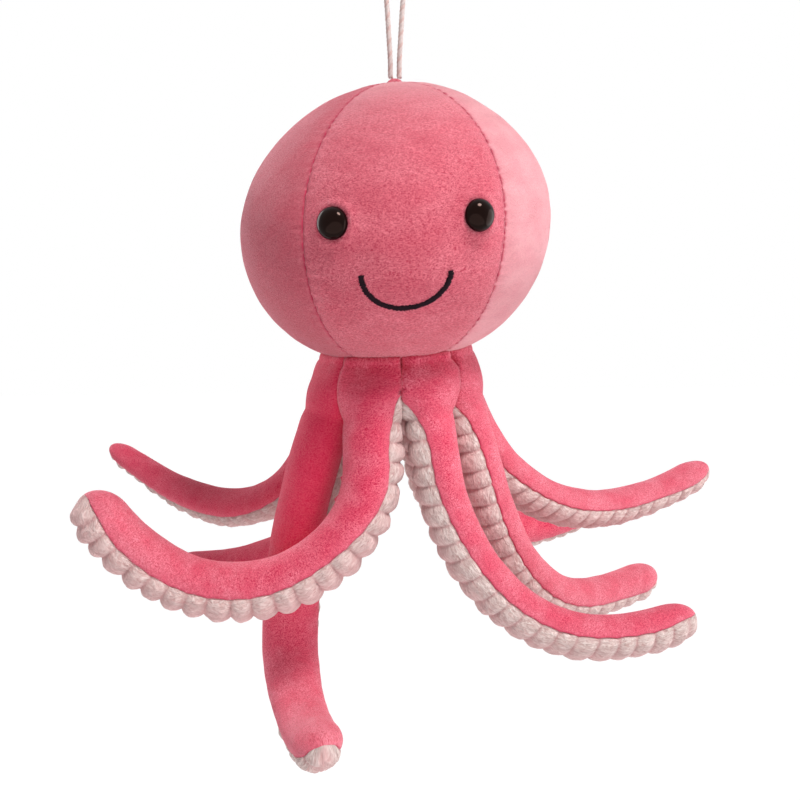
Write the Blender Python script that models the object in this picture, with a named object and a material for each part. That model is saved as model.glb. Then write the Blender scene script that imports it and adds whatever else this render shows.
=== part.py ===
"""Plush octopus on a hanging loop: a head sewn from five panels and eight stuffed tentacles.

Metres, +Z up. The origin is inside the top of the hanging loop, where a hook or a finger carries it,
and the face looks along -Y. Azimuths are turned from the face's direction towards +X.
"""

import math

import bmesh
import bpy
from mathutils import Matrix, Vector

# Gap between pieces that touch, and how far a cutter runs past what it cuts
clearance = 0.0003
cut_overrun = 0.0020

# Hanging loop of twisted cord
cord_diameter = 0.0026
loop_height = 0.0705
cord_route = (
    (-0.0021, 0.0, -0.0684),
    (-0.0022, 0.0, -0.0600),
    (-0.0028, 0.0, -0.0500),
    (-0.0034, 0.0, -0.0400),
    (-0.0042, 0.0, -0.0300),
    (-0.0051, 0.0, -0.0200),
    (-0.0060, 0.0, -0.0110),
    (-0.0062, 0.0, -0.0049),
    (-0.0054, 0.0, -0.0018),
    (-0.0031, 0.0, 0.0005),
    (0.0, 0.0, 0.0013),
    (0.0031, 0.0, 0.0005),
    (0.0054, 0.0, -0.0018),
    (0.0062, 0.0, -0.0049),
    (0.0060, 0.0, -0.0110),
    (0.0051, 0.0, -0.0200),
    (0.0042, 0.0, -0.0300),
    (0.0034, 0.0, -0.0400),
    (0.0028, 0.0, -0.0500),
    (0.0022, 0.0, -0.0600),
    (0.0021, 0.0, -0.0684),
)
cord_points = 57

# Head
head_radius = 0.0752
head_half_height = 0.0676
head_forward = 0.0035
upper_curve_shares = (1.9, 0.55)
lower_curve_shares = (2.1, 0.463)
head_tilt_share = 0.055
panel_swell_share = 0.012
swell_mean_share = 0.7
pile_thickness = 0.0019
stuffing_gap = 0.0006
neck_radius = 0.0390
neck_height_share = -0.938
crown_nub_radius = 0.0043
crown_nub_rise = 0.0018
knot_radius = 0.0038
knot_half_height = 0.0045
ball_rings = 8
panel_edges = (-36.0, 36.0, 108.0, 180.0, 252.0, 324.0)
panel_names = ("head_front_panel", "head_right_panel", "head_back_right_panel",
               "head_back_left_panel", "head_left_panel")
panel_columns = 5
panel_row_shares = (0.90, 0.78, 0.62, 0.44, 0.24, 0.02, -0.20, -0.42, -0.62, -0.78, -0.88)
stuffing_top_radius = 0.0058

# Eyes on shanks, each held by a washer inside the front panel
eye_radius = 0.0070
eye_height = 0.0058
eye_base_share = 0.94
eye_rim_share = 0.12
eye_rings = 6
eye_segments = 20
eye_azimuth = 24.0
eye_rise = 0.0028
slope_share = 0.06
shank_radius = 0.0022
shank_length = 0.0110
washer_radius = 0.0058
washer_thickness = 0.0014
washer_setback = 0.0016
round_segments = 16
bore_segments = 12

# Mouth, a band of satin stitch laid on the front panel
smile_half_width = 0.0182
smile_end_drop = 0.0195
smile_depth = 0.0150
smile_width = 0.0030
smile_thickness = 0.0007
smile_steps = 18

# Tentacles
tentacle_length = 0.2330
tentacle_radius = 0.0130
up_share = 0.94
across_share = 1.04
tip_radius_share = 0.20
tip_start_share = 0.93
corner_reach_share = 1.35
level_way_share = 0.5
end_taper_share = 0.06
root_ring_radius = 0.0255
root_core_radius = 0.0110
root_join_length = 0.0340
root_part_length = 0.0300
root_bulge = 0.0045
root_bulge_length = 0.0280
root_half_angle = 22.5
rib_count = 24
rib_rise = 0.0018
rib_sink = 0.0010
seam_shift = 0.0002
patch_depth = 0.0200
patch_dome = 0.0050
patch_middle_shares = (0.62, 0.7)
station_ribs = (0, 1, 2, 3, 4, 6, 8, 10, 12, 14, 16, 18, 20, 22, 23, 24)
top_angles = (-110.0, -73.3, -36.7, 0.0, 36.7, 73.3, 110.0)
top_inner_angles = (110.0, 55.0, 0.0, -55.0, -110.0)
rib_angles = (110.0, 156.7, 203.3, 250.0)
rib_inner_angles = (250.0, 203.3, 156.7, 110.0)

# Each tentacle's azimuth at the neck, the azimuth it swings towards, how full it is stuffed, and the
# heading of its length at six equal steps: azimuth, elevation, and the roll that turns its ribbed side
tentacles = {
    "front_left": (-22.5, -22.5, 1.11, ((-24, -66, 0), (-20, -79, 42), (-84, -42, 24), (-92, 0, 22),
                                        (-92, 39, 22), (-88, 60, 22))),
    "front_right": (22.5, 22.5, 0.92, ((26, -67, 0), (36, -76, -50), (76, -62, -36), (84, -36, -36),
                                       (98, -5, -40), (108, 8, -40))),
    "right_front": (67.5, 67.5, 0.96, ((67, -70, 0), (84, -75, -40), (108, -67, -20), (116, -43, -12),
                                       (118, -6, -12), (114, 10, -12))),
    "right_back": (112.5, 112.5, 0.90, ((109, -64, 0), (106, -64, 0), (110, -40, -20), (114, -16, -22),
                                        (107, 8, -22), (98, 26, -20))),
    "back_right": (157.5, 157.5, 0.92, ((158, -70, 0), (148, -75, 0), (134, -58, 0), (118, -24, 0),
                                        (110, 4, 0), (104, 16, 0))),
    "back_left": (-157.5, -157.5, 0.90, ((-158, -70, 0), (-150, -76, 0), (-134, -56, 0), (-122, -32, 0),
                                         (-112, -14, 0), (-104, 2, 0))),
    "left_back": (-112.5, -112.5, 0.84, ((-113, -65, 0), (-115, -68, 0), (-124, -30, 0), (-129, 2, 0),
                                         (-129, 18, 0), (-123, 24, 0))),
    "left_front": (-67.5, -92.5, 1.12, ((-65, -69, 0), (-83, -72, -24), (-84, -80, -32), (-16, -83, 0),
                                        (15, -13, 0), (14, 30, 0))),
}

# Places worked out from the sizes above
crown_height = -loop_height
head_centre = Vector((0.0, -head_forward, crown_height - head_half_height))
neck_height = head_centre.z + neck_height_share * head_half_height
panel_angle = panel_edges[1] - panel_edges[0]
hinge_height = crown_height - crown_nub_radius + crown_nub_rise
colours = {
    "velour": ((0.80, 0.20, 0.29, 1.0), 0.85),
    "tentacle_velour": ((0.84, 0.15, 0.25, 1.0), 0.85),
    "ribbed_plush": ((0.90, 0.85, 0.84, 1.0), 0.90),
    "stuffing": ((0.92, 0.92, 0.90, 1.0), 0.95),
    "cord": ((0.86, 0.74, 0.72, 1.0), 0.80),
    "eye": ((0.02, 0.015, 0.015, 1.0), 0.08),
    "washer": ((0.80, 0.80, 0.78, 1.0), 0.45),
    "thread": ((0.03, 0.02, 0.03, 1.0), 0.60),
}


def clear_scene():
    for thing in list(bpy.data.objects):
        bpy.data.objects.remove(thing, do_unlink=True)


def make_material(name, finish):
    colour, roughness = colours[finish]
    material = bpy.data.materials.new(name)
    material.use_nodes = True
    shader = material.node_tree.nodes["Principled BSDF"]
    shader.inputs["Base Color"].default_value = colour
    shader.inputs["Roughness"].default_value = roughness
    shader.inputs["Metallic"].default_value = 0.0
    material.diffuse_color = colour
    return material


def make_object(name, bm, finish, parent=None, smooth_angle=40.0):
    """Turns a bmesh into a node whose origin is at its parent's place."""
    bmesh.ops.recalc_face_normals(bm, faces=bm.faces)
    mesh = bpy.data.meshes.new(name)
    if parent:
        bmesh.ops.translate(bm, verts=bm.verts, vec=-parent.location)
    bm.to_mesh(mesh)
    bm.free()
    mesh.shade_smooth()
    mesh.set_sharp_from_angle(angle=math.radians(smooth_angle))
    node = bpy.data.objects.new(name, mesh)
    bpy.context.collection.objects.link(node)
    mesh.materials.append(make_material(name, finish))
    node.parent = parent
    return node


def make_pivot(name, place):
    pivot = bpy.data.objects.new(name, None)
    pivot.location = place
    bpy.context.collection.objects.link(pivot)
    return pivot


def loft(rings):
    """A closed solid through rings of equally many points, with a flat cap on each end."""
    bm = bmesh.new()
    rows = [[bm.verts.new(point) for point in ring] for ring in rings]
    count = len(rows[0])
    for low, high in zip(rows, rows[1:]):
        for i in range(count):
            j = (i + 1) % count
            bm.faces.new((low[i], low[j], high[j]))
            bm.faces.new((low[i], high[j], high[i]))
    bm.faces.new(rows[0])
    bm.faces.new(rows[-1])
    return bm


def turned(profile, place, axis, segments):
    """A solid turned about an axis from a profile of (radius, height) whose ends lie on the axis."""
    turn = axis.to_track_quat("Z", "Y").to_matrix().to_4x4()
    frame = Matrix.Translation(place) @ turn
    bm = bmesh.new()
    poles = [bm.verts.new(frame @ Vector((0.0, 0.0, height))) for radius, height in (profile[0], profile[-1])]
    rows = []
    for radius, height in profile[1:-1]:
        angles = [2.0 * math.pi * k / segments for k in range(segments)]
        rows.append([
            bm.verts.new(frame @ Vector((radius * math.cos(a), radius * math.sin(a), height))) for a in angles
        ])
    for k in range(segments):
        n = (k + 1) % segments
        bm.faces.new((poles[0], rows[0][n], rows[0][k]))
        bm.faces.new((poles[1], rows[-1][k], rows[-1][n]))
        for low, high in zip(rows, rows[1:]):
            bm.faces.new((low[k], low[n], high[n], high[k]))
    return bm


def cut(node, name, bm):
    """Cuts a guide solid out of a node with a Boolean that stays on it."""
    cutter = make_object(name, bm, "stuffing", node.parent)
    cutter.hide_render = True
    cutter.display_type = "WIRE"
    tool = node.modifiers.new(name, "BOOLEAN")
    tool.operation = "DIFFERENCE"
    tool.solver = "EXACT"
    tool.object = cutter


def ease(share):
    share = min(max(share, 0.0), 1.0)
    return share * share * (3.0 - 2.0 * share)


def outward(azimuth):
    angle = math.radians(azimuth)
    return Vector((math.sin(angle), -math.cos(angle), 0.0))


def tilted(point):
    """The toy hangs a little askew: its +X side rides higher."""
    return Vector((point.x, point.y, point.z + head_tilt_share * point.x))


def through_points(knots, share):
    """A point at a share of the way along a smooth curve through evenly spaced knots."""
    last = len(knots) - 1
    i = min(int(share * last), last - 1)
    t = share * last - i
    before, here = knots[max(i - 1, 0)], knots[i]
    there, after = knots[i + 1], knots[min(i + 2, last)]
    line = 2.0 * here + (there - before) * t
    bend = (2.0 * before - 5.0 * here + 4.0 * there - after) * t * t
    return 0.5 * (line + bend + (3.0 * here - 3.0 * there + after - before) * t ** 3)


def curve_radius_share(height_share):
    power, root = upper_curve_shares if height_share > 0.0 else lower_curve_shares
    return (1.0 - abs(height_share) ** power) ** root


def head_point(height_share, azimuth, inset=0.0):
    """A point of the head's skin, or of a surface laid inside it."""
    across = ((azimuth - panel_edges[0]) % panel_angle) / panel_angle
    crown = math.sin(math.pi * across) - swell_mean_share
    swell = 1.0 + panel_swell_share * crown * (1.0 - height_share ** 2)
    radius = max(head_radius * curve_radius_share(height_share) * swell, neck_radius) - inset
    if height_share > 0.0:
        radius = head_radius * curve_radius_share(height_share) * swell - inset
    height = head_half_height * height_share - inset * max(height_share, 0.0)
    return head_centre + outward(azimuth) * radius + Vector((0.0, 0.0, height))


def head_row_shares():
    """Height shares of a panel's rows, from the crown's opening down to the neck."""
    return (1.0,) + panel_row_shares + (neck_height_share,)


def crown_ring_point(azimuth, inset=0.0):
    """The panels' upper edge, round the nub that the cord enters."""
    return Vector((0.0, 0.0, crown_height - inset)) + outward(azimuth) * (crown_nub_radius + clearance)


def make_loop():
    knots = [Vector(point) for point in cord_route]
    curve = bpy.data.curves.new("hanging_loop", "CURVE")
    curve.dimensions = "3D"
    curve.bevel_depth = cord_diameter / 2.0
    curve.bevel_resolution = 2
    curve.use_fill_caps = True
    spline = curve.splines.new("POLY")
    spline.points.add(cord_points - 1)
    for i in range(cord_points):
        place = through_points(knots, i / (cord_points - 1))
        spline.points[i].co = (place.x, place.y, place.z, 1.0)
    node = bpy.data.objects.new("hanging_loop", curve)
    bpy.context.collection.objects.link(node)
    curve.materials.append(make_material("hanging_loop", "cord"))


def make_crown(pivot):
    """The gathered nub over the panels' points, and the knot in the cord's ends under it."""
    hinge = Vector((0.0, 0.0, hinge_height))
    up = Vector((0.0, 0.0, 1.0))
    nub, knot = [], []
    for k in range(ball_rings + 1):
        angle = math.pi * k / ball_rings
        nub.append((crown_nub_radius * math.sin(angle), -crown_nub_radius * math.cos(angle)))
        knot.append((knot_radius * math.sin(angle), -knot_half_height * math.cos(angle)))
    make_object("crown_nub", turned(nub, hinge, up, round_segments), "velour", pivot)
    knot_place = hinge - up * (crown_nub_radius + clearance + knot_half_height)
    make_object("loop_knot", turned(knot, knot_place, up, bore_segments), "cord", pivot)
    return knot_place


def make_head_panel(name, first, last, pivot):
    """One sewn panel of the head, as thick as its pile, between two seams."""
    rows = head_row_shares()
    bm = bmesh.new()
    sheets = []
    for inset in (0.0, pile_thickness):
        sheet = []
        for row, share in enumerate(rows):
            line = []
            for k in range(panel_columns + 1):
                azimuth = first + (last - first) * k / panel_columns
                if row == 0:
                    place = crown_ring_point(azimuth, inset)
                else:
                    place = head_point(share, azimuth, inset)
                edge = 1 if k == 0 else -1 if k == panel_columns else 0
                place = place + outward(azimuth + 90.0) * edge * (clearance / 2.0)
                line.append(bm.verts.new(tilted(place)))
            sheet.append(line)
        sheets.append(sheet)
    outer, inner = sheets
    for row in range(len(rows) - 1):
        for k in range(panel_columns):
            bm.faces.new((outer[row][k], outer[row][k + 1], outer[row + 1][k + 1], outer[row + 1][k]))
            bm.faces.new((inner[row][k], inner[row + 1][k], inner[row + 1][k + 1], inner[row][k + 1]))
        for k in (0, panel_columns):
            bm.faces.new((outer[row][k], inner[row][k], inner[row + 1][k], outer[row + 1][k]))
    for row in (0, len(rows) - 1):
        for k in range(panel_columns):
            bm.faces.new((outer[row][k], outer[row][k + 1], inner[row][k + 1], inner[row][k]))
    return make_object(name, bm, "velour", pivot)


def make_head_stuffing(pivot, knot_place):
    inset = pile_thickness + stuffing_gap
    columns = panel_columns * (len(panel_edges) - 1)
    azimuths = [panel_edges[0] + 360.0 * k / columns for k in range(columns)]
    rings = []
    top = Vector((0.0, 0.0, crown_height - inset - clearance))
    rings.append([tilted(top + outward(azimuth) * stuffing_top_radius) for azimuth in azimuths])
    for share in panel_row_shares:
        rings.append([tilted(head_point(share, azimuth, inset)) for azimuth in azimuths])
    low_share = (neck_height + clearance - head_centre.z) / head_half_height
    rings.append([tilted(head_point(low_share, azimuth, inset)) for azimuth in azimuths])
    node = make_object("head_stuffing", loft(rings), "stuffing", pivot)
    top = crown_height + cut_overrun
    bottom = knot_place.z - knot_half_height - clearance
    radius = crown_nub_radius + clearance
    pocket = [(0.0, 0.0), (radius, 0.0), (radius, top - bottom), (0.0, top - bottom)]
    up = Vector((0.0, 0.0, 1.0))
    cut(node, "knot_pocket", turned(pocket, up * bottom, up, round_segments))
    return node


def eye_seat(side):
    """Where an eye's shank leaves the front panel, and the way that the eye faces."""
    share = eye_rise / head_half_height
    azimuth = side * eye_azimuth
    place = tilted(head_point(share, azimuth))
    above = tilted(head_point(share + slope_share, azimuth))
    below = tilted(head_point(share - slope_share, azimuth))
    return place, outward(azimuth + 90.0).cross(above - below).normalized()


def make_eye(side, front_panel, stuffing, pivot):
    name = "left_eye" if side < 0 else "right_eye"
    place, facing = eye_seat(side)
    dome = [(0.0, -shank_length), (shank_radius, -shank_length), (shank_radius, clearance)]
    dome.append((eye_radius * eye_base_share, clearance))
    for k in range(eye_rings):
        angle = math.pi / 2.0 * k / eye_rings
        rise_share = eye_rim_share + (1.0 - eye_rim_share) * math.sin(angle)
        dome.append((eye_radius * math.cos(angle), eye_height * rise_share))
    dome.append((0.0, eye_height))
    make_object(name, turned(dome, place, facing, eye_segments), "eye", pivot)
    washer_top = -(pile_thickness + washer_setback)
    washer_bottom = washer_top - washer_thickness
    bore = shank_radius + clearance
    washer = bmesh.new()
    rings = []
    turn = Matrix.Translation(place) @ facing.to_track_quat("Z", "Y").to_matrix().to_4x4()
    for radius, height in ((bore, washer_top), (washer_radius, washer_top),
                           (washer_radius, washer_bottom), (bore, washer_bottom)):
        ring = []
        for k in range(round_segments):
            angle = 2.0 * math.pi * k / round_segments
            spot = Vector((radius * math.cos(angle), radius * math.sin(angle), height))
            ring.append(washer.verts.new(turn @ spot))
        rings.append(ring)
    for low, high in zip(rings, rings[1:] + rings[:1]):
        for k in range(round_segments):
            n = (k + 1) % round_segments
            washer.faces.new((low[k], low[n], high[n], high[k]))
    make_object(name + "_washer", washer, "washer", pivot)
    hole = [(0.0, -pile_thickness - cut_overrun), (bore, -pile_thickness - cut_overrun),
            (bore, cut_overrun), (0.0, cut_overrun)]
    cut(front_panel, name + "_hole", turned(hole, place, facing, bore_segments))
    well_radius = washer_radius + clearance
    well_bottom = washer_bottom - clearance
    well = [(0.0, -shank_length - clearance), (bore, -shank_length - clearance), (bore, well_bottom),
            (well_radius, well_bottom), (well_radius, cut_overrun), (0.0, cut_overrun)]
    cut(stuffing, name + "_well", turned(well, place, facing, round_segments))


def smile_point(share, across, raised):
    """A point of the stitched band: share along it, across its width, raised off the panel."""
    angle = math.pi * (share - 0.5)
    side = (smile_half_width + across) * math.sin(angle)
    drop = smile_end_drop + (smile_depth + across) * math.cos(angle)
    height_share = -drop / head_half_height
    radius = head_radius * curve_radius_share(height_share)
    azimuth = math.degrees(math.asin(side / radius))
    return tilted(head_point(height_share, azimuth, -raised))


def make_smile(pivot):
    rings = []
    half = smile_width / 2.0
    top = clearance + smile_thickness
    for k in range(smile_steps + 1):
        share = k / smile_steps
        rings.append([
            smile_point(share, -half, clearance),
            smile_point(share, half, clearance),
            smile_point(share, half / 2.0, top),
            smile_point(share, -half / 2.0, top),
        ])
    make_object("smile_embroidery", loft(rings), "thread", pivot)


def make_underside_patch(pivot):
    """The round white patch under the head, between the tentacles' inner sides."""
    radius = root_core_radius - clearance
    out_share, dome_share = patch_middle_shares
    profile = [(0.0, -patch_depth - patch_dome), (radius * out_share, -patch_depth - patch_dome * dome_share),
               (radius, -patch_depth), (radius, -clearance), (0.0, -clearance)]
    place = Vector((head_centre.x, head_centre.y, neck_height))
    bm = turned(profile, place, Vector((0.0, 0.0, 1.0)), round_segments)
    for vert in bm.verts:
        vert.co = tilted(vert.co)
    make_object("underside_patch", bm, "ribbed_plush", pivot)


def heading(azimuth, elevation):
    rise = math.radians(elevation)
    return outward(azimuth) * math.cos(rise) + Vector((0.0, 0.0, math.sin(rise)))


def upper_side(azimuth, elevation, roll):
    """The way that the velour side faces along a heading, rolled about it."""
    rise = math.radians(elevation)
    level = outward(azimuth) * -math.sin(rise) + Vector((0.0, 0.0, math.cos(rise)))
    return Matrix.Rotation(math.radians(roll), 3, heading(azimuth, elevation)) @ level


def tentacle_frames(azimuth, bends):
    """Centre, upper side and cross direction at each station along a tentacle."""
    ways = [heading(a, e) for a, e, roll in bends]
    uppers = [upper_side(a, e, roll) for a, e, roll in bends]
    steps = 4 * rib_count
    place = head_centre + outward(azimuth) * root_ring_radius
    place.z = neck_height - clearance
    frames = []
    for step in range(steps + 1):
        share = step / steps
        if step % 4 == 0 and step // 4 in station_ribs:
            way = through_points(ways, share).normalized()
            upper = through_points(uppers, share)
            bent = ease(share * tentacle_length / root_join_length)
            way = Vector((0.0, 0.0, -1.0)).lerp(way, bent).normalized()
            upper = outward(azimuth).lerp(upper, bent)
            upper = (upper - way * upper.dot(way)).normalized()
            frames.append((share, place.copy(), upper, way.cross(upper)))
        middle = min(share + 0.5 / steps, 1.0)
        place = place + through_points(ways, middle).normalized() * (tentacle_length / steps)
    return frames


def section_radius(share, turn, fullness):
    """The skin's distance from the centre: an oval, wider from seam to seam than it is deep."""
    oval = 1.0 / math.hypot(math.cos(turn) / up_share, math.sin(turn) / across_share)
    body = tentacle_radius * fullness * oval * (1.0 - end_taper_share * share)
    past = (share - tip_start_share) / (1.0 - tip_start_share)
    if past <= 0.0:
        return body
    return body * max(math.sqrt(max(1.0 - past * past, 0.0)), tip_radius_share)


def reach(share, centre, direction, azimuth, radius, inset):
    """How far a surface laid inset from the skin lies from the section's centre.

    The free length keeps the oval radius. The section is squared off where the roots are sewn together.
    """
    length = share * tentacle_length
    joined = ease(length / root_join_length)
    parted = ease((length - root_join_length) / root_part_length)
    own, across = outward(azimuth), outward(azimuth + 90.0)
    offset = centre - head_centre
    place = Vector((offset.dot(own), offset.dot(across)))
    way = Vector((direction.dot(own), direction.dot(across)))
    if joined < 1.0:
        b = place.dot(way)
        arc = -b + math.sqrt(max(b * b + way.length_squared * (neck_radius ** 2 - place.length_squared), 0.0))
        corner = arc / way.length_squared if way.length > level_way_share else radius
        radius = radius * joined + min(corner, radius * corner_reach_share) * (1.0 - joined)
    radius += root_bulge * math.sin(math.pi * min(length / root_bulge_length, 1.0)) - inset
    depth = max(inset, 0.0)
    turn = math.radians(root_half_angle)
    for side in (-1.0, 1.0):
        lean = side * math.cos(turn) * way.y - math.sin(turn) * way.x
        if lean > 0.0 and parted < 1.0:
            room = math.sin(turn) * place.x - side * math.cos(turn) * place.y
            room += tentacle_radius * parted - clearance / 2.0 - depth
            radius = min(radius, room / lean)
    if way.x < 0.0 and joined < 1.0:
        room = place.x - root_core_radius * (1.0 - joined) - depth
        radius = min(radius, -room / way.x)
    return max(radius, clearance)


def section_point(frame, azimuth, fullness, angle, inset, shift):
    share, centre, upper, across = frame
    turn = math.radians(angle)
    direction = upper * math.cos(turn) + across * math.sin(turn)
    distance = reach(share, centre, direction, azimuth, section_radius(share, turn, fullness), inset)
    return tilted(centre + direction * distance + upper * shift)


def make_top_panel(name, azimuth, fullness, frames, pivot):
    rings = []
    for frame in frames:
        at = (frame, azimuth, fullness)
        ring = [section_point(*at, a, 0.0, seam_shift) for a in top_angles]
        ring += [section_point(*at, a, pile_thickness, seam_shift) for a in top_inner_angles]
        rings.append(ring)
    make_object(name + "_top_panel", loft(rings), "tentacle_velour", pivot)


def make_rib_strip(name, azimuth, fullness, frames, pivot):
    """The ribbed underside: two rows of points to a rib, laid between the stations."""
    rows = []
    for index, frame in enumerate(frames):
        at = (frame, azimuth, fullness)
        rise = rib_rise * ease(frame[0] * tentacle_length / root_join_length)
        valley = [section_point(*at, a, rib_sink, -seam_shift) for a in rib_angles]
        ridge = [section_point(*at, a, 0.0, -seam_shift) for a in rib_angles]
        ridge[1:-1] = [section_point(*at, a, -rise, -seam_shift) for a in rib_angles[1:-1]]
        inner = [section_point(*at, a, pile_thickness, -seam_shift) for a in rib_inner_angles]
        rows.append((station_ribs[index], valley, ridge, inner))
    bm = bmesh.new()
    inner_rows = [[bm.verts.new(point) for point in row[3]] for row in rows]
    outer = [bm.verts.new(point) for point in rows[0][1]]
    first_outer = outer
    for index, (low, high) in enumerate(zip(rows, rows[1:])):
        ribs = high[0] - low[0]
        edges = [[outer[0]], [outer[-1]]]
        for half in range(1, 2 * ribs + 1):
            along = half / (2.0 * ribs)
            kind = 2 if half % 2 else 1
            line = [here.lerp(there, along) for here, there in zip(low[kind], high[kind])]
            fresh = [bm.verts.new(point) for point in line]
            for k in range(len(fresh) - 1):
                bm.faces.new((outer[k], outer[k + 1], fresh[k + 1], fresh[k]))
            outer = fresh
            edges[0].append(outer[0])
            edges[1].append(outer[-1])
        inner, inner_next = inner_rows[index], inner_rows[index + 1]
        for k in range(len(inner) - 1):
            bm.faces.new((inner[k], inner[k + 1], inner_next[k + 1]))
            bm.faces.new((inner[k], inner_next[k + 1], inner_next[k]))
        bm.faces.new(edges[0] + [inner_next[-1], inner[-1]])
        bm.faces.new(edges[1] + [inner_next[0], inner[0]])
    bm.faces.new(first_outer + inner_rows[0])
    bm.faces.new(outer + inner_rows[-1])
    bmesh.ops.triangulate(bm, faces=[face for face in bm.faces if len(face.verts) > 4])
    make_object(name + "_rib_strip", bm, "ribbed_plush", pivot)


def make_tentacle_stuffing(name, azimuth, fullness, frames, pivot):
    inset = pile_thickness + stuffing_gap
    angles = top_inner_angles + rib_inner_angles[1:3]
    rings = []
    for frame in frames[:-1]:
        rings.append([section_point(frame, azimuth, fullness, a, inset, 0.0) for a in angles])
    make_object(name + "_stuffing", loft(rings), "stuffing", pivot)


def make_tentacle(name, azimuth, swing_azimuth, fullness, bends):
    hinge = head_centre + outward(swing_azimuth) * neck_radius
    hinge.z = neck_height
    pivot = make_pivot(name + "_hinge", tilted(hinge))
    frames = tentacle_frames(azimuth, bends)
    make_top_panel(name, azimuth, fullness, frames, pivot)
    make_rib_strip(name, azimuth, fullness, frames, pivot)
    make_tentacle_stuffing(name, azimuth, fullness, frames, pivot)


def build():
    clear_scene()
    make_loop()
    pivot = make_pivot("crown_hinge", Vector((0.0, 0.0, hinge_height)))
    knot_place = make_crown(pivot)
    panels = {}
    for name, first, last in zip(panel_names, panel_edges, panel_edges[1:]):
        panels[name] = make_head_panel(name, first, last, pivot)
    stuffing = make_head_stuffing(pivot, knot_place)
    for side in (-1, 1):
        make_eye(side, panels["head_front_panel"], stuffing, pivot)
    make_smile(pivot)
    make_underside_patch(pivot)
    for name, settings in tentacles.items():
        make_tentacle(name, *settings)


build()
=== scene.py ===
# Plush octopus on a hanging loop: the looks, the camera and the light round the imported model.
# Metres, +Z up, the face looks along -Y. Azimuths turn from the face towards +X.
import math
import bpy
import numpy as np
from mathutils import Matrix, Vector, noise


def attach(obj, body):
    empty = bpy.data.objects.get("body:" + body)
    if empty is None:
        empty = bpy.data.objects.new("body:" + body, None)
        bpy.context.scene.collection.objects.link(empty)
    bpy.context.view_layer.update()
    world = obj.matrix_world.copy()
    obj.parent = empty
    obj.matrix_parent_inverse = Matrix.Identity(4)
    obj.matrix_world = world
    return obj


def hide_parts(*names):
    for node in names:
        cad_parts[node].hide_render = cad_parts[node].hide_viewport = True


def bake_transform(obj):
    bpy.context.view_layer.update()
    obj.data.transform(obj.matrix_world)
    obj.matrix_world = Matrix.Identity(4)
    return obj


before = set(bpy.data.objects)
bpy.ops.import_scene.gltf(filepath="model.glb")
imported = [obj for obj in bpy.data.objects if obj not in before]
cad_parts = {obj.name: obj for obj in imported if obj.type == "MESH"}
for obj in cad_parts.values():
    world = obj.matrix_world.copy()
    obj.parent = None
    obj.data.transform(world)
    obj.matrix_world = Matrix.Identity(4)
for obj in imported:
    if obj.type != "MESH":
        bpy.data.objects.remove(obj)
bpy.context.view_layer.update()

scene = bpy.context.scene
scene.view_settings.view_transform = "Standard"

# Sizes that the solids have too
head = {
    "radius": 0.0752,
    "halfHeight": 0.0676,
    "forward": 0.0035,
    "crown": -0.0705,
    "neckRadius": 0.0390,
    "neckLook": 0.0352,
    "neckShare": -0.938,
    "tilt": 0.055,
    "swell": 0.012,
    "upperCurve": (1.9, 0.55),
    "lowerCurve": (2.1, 0.463),
    "seams": (-36.0, 36.0, 108.0, 180.0, 252.0, 324.0),
}
headCentre = np.array([0.0, -head["forward"], head["crown"] - head["halfHeight"]])
neckHeight = headCentre[2] + head["neckShare"] * head["halfHeight"]


# Small helpers
def outward(azimuth):
    angle = np.radians(np.asarray(azimuth, float))
    return np.stack([np.sin(angle), -np.cos(angle), np.zeros_like(angle)], -1)


def ease(share):
    share = np.clip(share, 0.0, 1.0)
    return share * share * (3.0 - 2.0 * share)


def unit(vectors):
    return vectors / np.maximum(np.linalg.norm(vectors, axis=-1, keepdims=True), 1e-9)


def lengthAlong(path):
    return np.concatenate([[0.0], np.cumsum(np.linalg.norm(np.diff(path, axis=0), axis=1))])


def tilted(points):
    points = np.array(points, float)
    points[..., 2] += head["tilt"] * points[..., 0]
    return points


def softNoise(points, size, seed=0.0):
    flat = np.asarray(points, float).reshape(-1, 3) / size
    values = [noise.noise(Vector(p) + Vector((seed, 0.0, 0.0))) for p in flat]
    return np.array(values).reshape(np.shape(points)[:-1])


def softLeast(values, blend):
    stack = np.stack(np.broadcast_arrays(*values))
    least = stack.min(0)
    return least - blend * np.log(np.exp(-(stack - least) / blend).sum(0))


# From -1 to 1, closer together toward both ends
def crowded(count, share):
    t = np.linspace(-1.0, 1.0, count)
    return (1.0 + share) * t - share * t ** 3


# Both side edges of a skin turn in under it
def withFolds(grid, outside, depth):
    first, last = (grid[:, column] - outside[:, column] * depth for column in (0, -1))
    return np.concatenate([first[:, None], grid, last[:, None]], 1)


def makeSolid(name, vertices, faces, material):
    mesh = bpy.data.meshes.new(name)
    mesh.from_pydata([tuple(v) for v in vertices], [], faces)
    mesh.shade_smooth()
    mesh.materials.append(material)
    piece = bpy.data.objects.new(name, mesh)
    bpy.context.collection.objects.link(piece)
    return piece


def addField(piece, name, values):
    field = piece.data.attributes.new(name, "FLOAT", "POINT")
    field.data.foreach_set("value", np.asarray(values, np.float32).ravel())


def addFlatUv(piece, scale, shift):
    layer = piece.data.uv_layers.new(name="UVMap")
    for corner in piece.data.loops:
        spot = piece.data.vertices[corner.vertex_index].co
        layer.data[corner.index].uv = (spot.x * scale + shift, spot.y * scale)


def makeGrid(name, grid, uv, fields, material, turned=False):
    rows, columns = grid.shape[:2]
    first = (np.arange(rows - 1)[:, None] * columns + np.arange(columns - 1)).ravel()
    faces = np.stack([first, first + columns, first + columns + 1, first + 1], -1)
    if turned:
        faces = faces[:, ::-1]
    piece = makeSolid(name, grid.reshape(-1, 3), faces.tolist(), material)
    layer = piece.data.uv_layers.new(name="UVMap")
    layer.data.foreach_set("uv", uv.reshape(-1, 2)[faces.ravel()].astype(np.float32).ravel())
    for field, values in fields.items():
        addField(piece, field, values)
    return piece


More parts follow.
